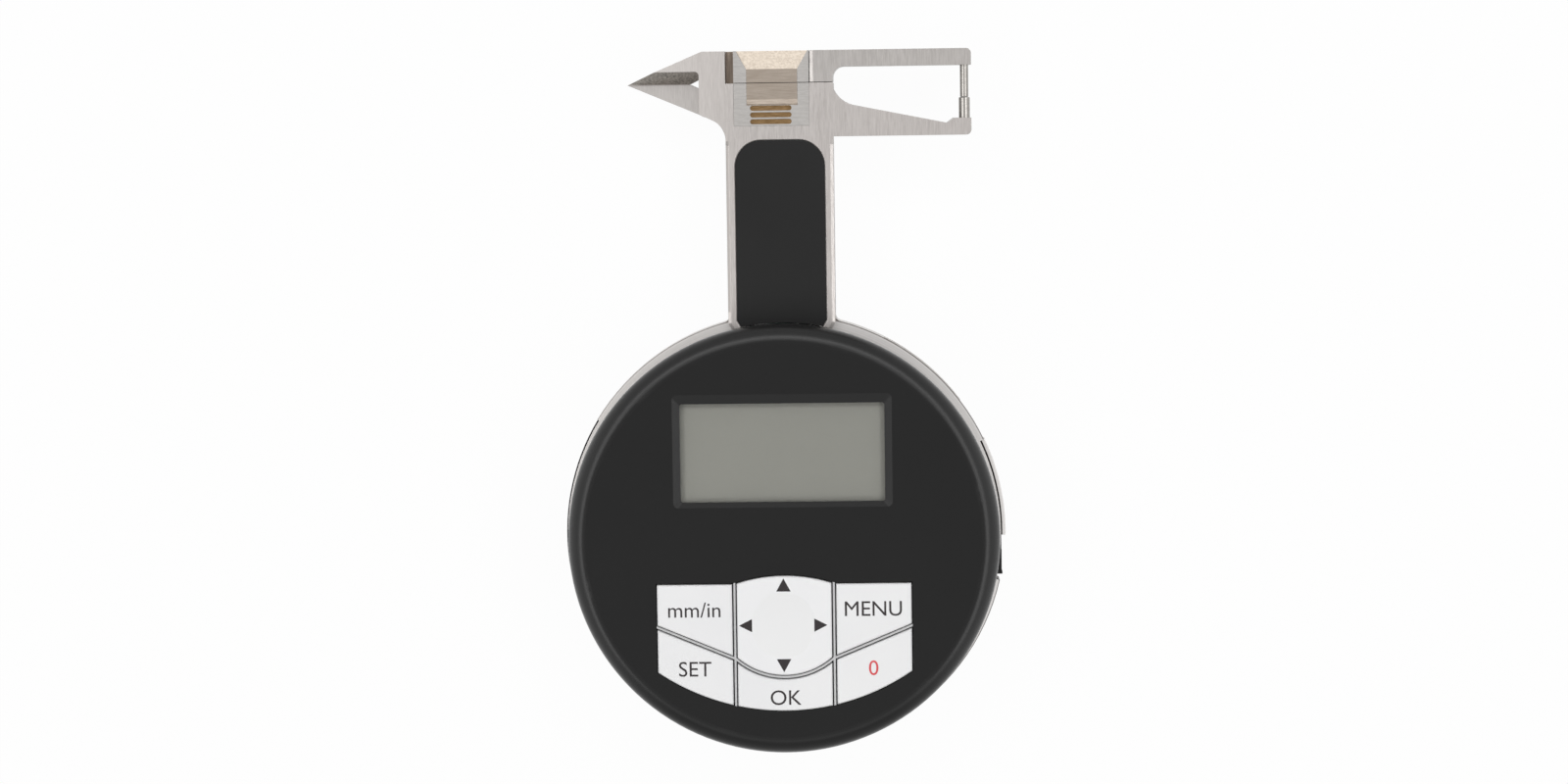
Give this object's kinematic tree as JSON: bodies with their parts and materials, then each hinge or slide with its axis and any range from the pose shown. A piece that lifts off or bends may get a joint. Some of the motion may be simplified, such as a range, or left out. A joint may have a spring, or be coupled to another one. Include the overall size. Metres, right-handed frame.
{
  "type": "digital gemstone gauge",
  "caption": "Digital gemstone gauge: round electronic case with display and keys on a steel frame; a side lever opens sliding measuring jaws.",
  "frame": {"origin": "centre of the round case on its flat back, where the gauge lies on a table", "axes": "+X to the right seen from the front, +Y from the case along the neck to the jaws, +Z out of the front with the display and keys"},
  "size_m": [0.065, 0.1036, 0.0195],
  "materials": {
    "spring_steel": "bright",
    "black_plastic": "fine grained",
    "screw_steel": "plated",
    "seal_rubber": "matte",
    "chip": "moulded",
    "ground_steel": "fine ground",
    "brushed_steel": "fine vertical brushing",
    "board": "solder mask",
    "cell_steel": "bright",
    "clear_lens": "clear",
    "brass": "fine brushed",
    "key_plastic": "satin",
    "pin_steel": "polished",
    "bronze": "machined",
    "rib_plastic": "satin",
    "inner_plastic": "plain moulded",
    "display_panel": "satin grey",
    "black_panel": "satin",
    "strip_film": "printed",
    "ribbon_film": "film",
    "pad_rubber": "matte"
  },
  "bodies": {
    "frame": {"axle_clip": "spring_steel", "back_cover": "black_plastic", "back_cover_screws": "screw_steel", "block_screws": "screw_steel", "board_chips": "chip", "board_screws": "screw_steel", "bridge_plate": "ground_steel", "bridge_screws": "screw_steel", "cell_contact_minus": "spring_steel", "cell_contact_plus": "spring_steel", "circuit_board": "board", "coin_cell": "cell_steel", "contact_strips": "seal_rubber", "display_lens": "clear_lens", "dome_contacts": "spring_steel", "frame_casting": "brushed_steel", "front_housing": "black_plastic", "gear_axle": "pin_steel", "guide_bushes": "bronze", "housing_screws": "screw_steel", "keypad_frame": "rib_plastic", "lcd_holder": "inner_plastic", "lcd_panel": "display_panel", "lever_axle": "pin_steel", "lower_anvil": "brass", "lower_block": "ground_steel", "lower_pin": "pin_steel", "neck_cover": "black_panel", "return_spring": "spring_steel", "sensor_board": "board", "sensor_ribbon": "ribbon_film"},
    "carriage": {"carriage_plate": "brushed_steel", "upper_block": "ground_steel", "upper_anvil": "brass", "upper_pin": "pin_steel", "slide_rod": "ground_steel", "scale_strip": "strip_film", "carriage_screws": "screw_steel"},
    "lever": {"thumb_lever": "brushed_steel", "thumb_pad": "pad_rubber"},
    "gear": {"drive_gear": "brass", "pinion": "ground_steel"},
    "pad_pivot": {"nav_pivot": "inner_plastic"},
    "pad": {"nav_pad": "key_plastic"},
    "battery_lid": {"battery_cover": "black_plastic", "battery_seal": "seal_rubber"},
    "units_key": {"units_key": "key_plastic"},
    "menu_key": {"menu_key": "key_plastic"},
    "set_key": {"set_key": "key_plastic"},
    "zero_key": {"zero_key": "key_plastic"},
    "enter_key": {"enter_key": "key_plastic"}
  },
  "joints": [
    {"name": "lever_turn", "type": "hinge", "parent": "frame", "child": "lever", "pos_m": [0, 0, 0.0088], "axis": [0, 0, 1], "range_deg": [0, 36.11], "stiffness_Nm_per_rad": 0.08, "springref_deg": -14.32},
    {"name": "carriage_slide", "type": "slide", "parent": "frame", "child": "carriage", "axis": [0, 1, 0], "range_m": [0, 0.025], "deforming": ["return_spring"]},
    {"name": "gear_spin", "type": "hinge", "parent": "frame", "child": "gear", "pos_m": [0.007, 0.01873, 0.0075], "axis": [0, 0, 1], "range_deg": [-205, 0]},
    {"name": "units_key_press", "type": "slide", "parent": "frame", "child": "units_key", "axis": [0, 0, -1], "range_m": [0, 0.0006], "stiffness_N_per_m": 400, "springref_m": -0.001},
    {"name": "menu_key_press", "type": "slide", "parent": "frame", "child": "menu_key", "axis": [0, 0, -1], "range_m": [0, 0.0006], "stiffness_N_per_m": 400, "springref_m": -0.001},
    {"name": "set_key_press", "type": "slide", "parent": "frame", "child": "set_key", "axis": [0, 0, -1], "range_m": [0, 0.0006], "stiffness_N_per_m": 400, "springref_m": -0.001},
    {"name": "zero_key_press", "type": "slide", "parent": "frame", "child": "zero_key", "axis": [0, 0, -1], "range_m": [0, 0.0006], "stiffness_N_per_m": 400, "springref_m": -0.001},
    {"name": "enter_key_press", "type": "slide", "parent": "frame", "child": "enter_key", "axis": [0, 0, -1], "range_m": [0, 0.0006], "stiffness_N_per_m": 400, "springref_m": -0.001},
    {"name": "pad_tilt_sideways", "type": "hinge", "parent": "pad_pivot", "child": "pad", "pos_m": [0, -0.01223, 0.01745], "axis": [0, 1, 0], "range_deg": [-3, 3], "stiffness_Nm_per_rad": 0.02},
    {"name": "pad_tilt_lengthways", "type": "hinge", "parent": "frame", "child": "pad_pivot", "pos_m": [0, -0.01223, 0.01745], "axis": [1, 0, 0], "range_deg": [-3, 3], "stiffness_Nm_per_rad": 0.02},
    {"name": "battery_lid_turn", "type": "hinge", "parent": "frame", "child": "battery_lid", "pos_m": [0, -0.015, 0.001], "axis": [0, 0, 1], "range_deg": [0, 40]}
  ],
  "couplings": [
    {"joint": "carriage_slide", "follows": "lever_turn", "m_per_rad": 0.039667},
    {"joint": "gear_spin", "follows": "lever_turn", "ratio": -5.6667}
  ]
}
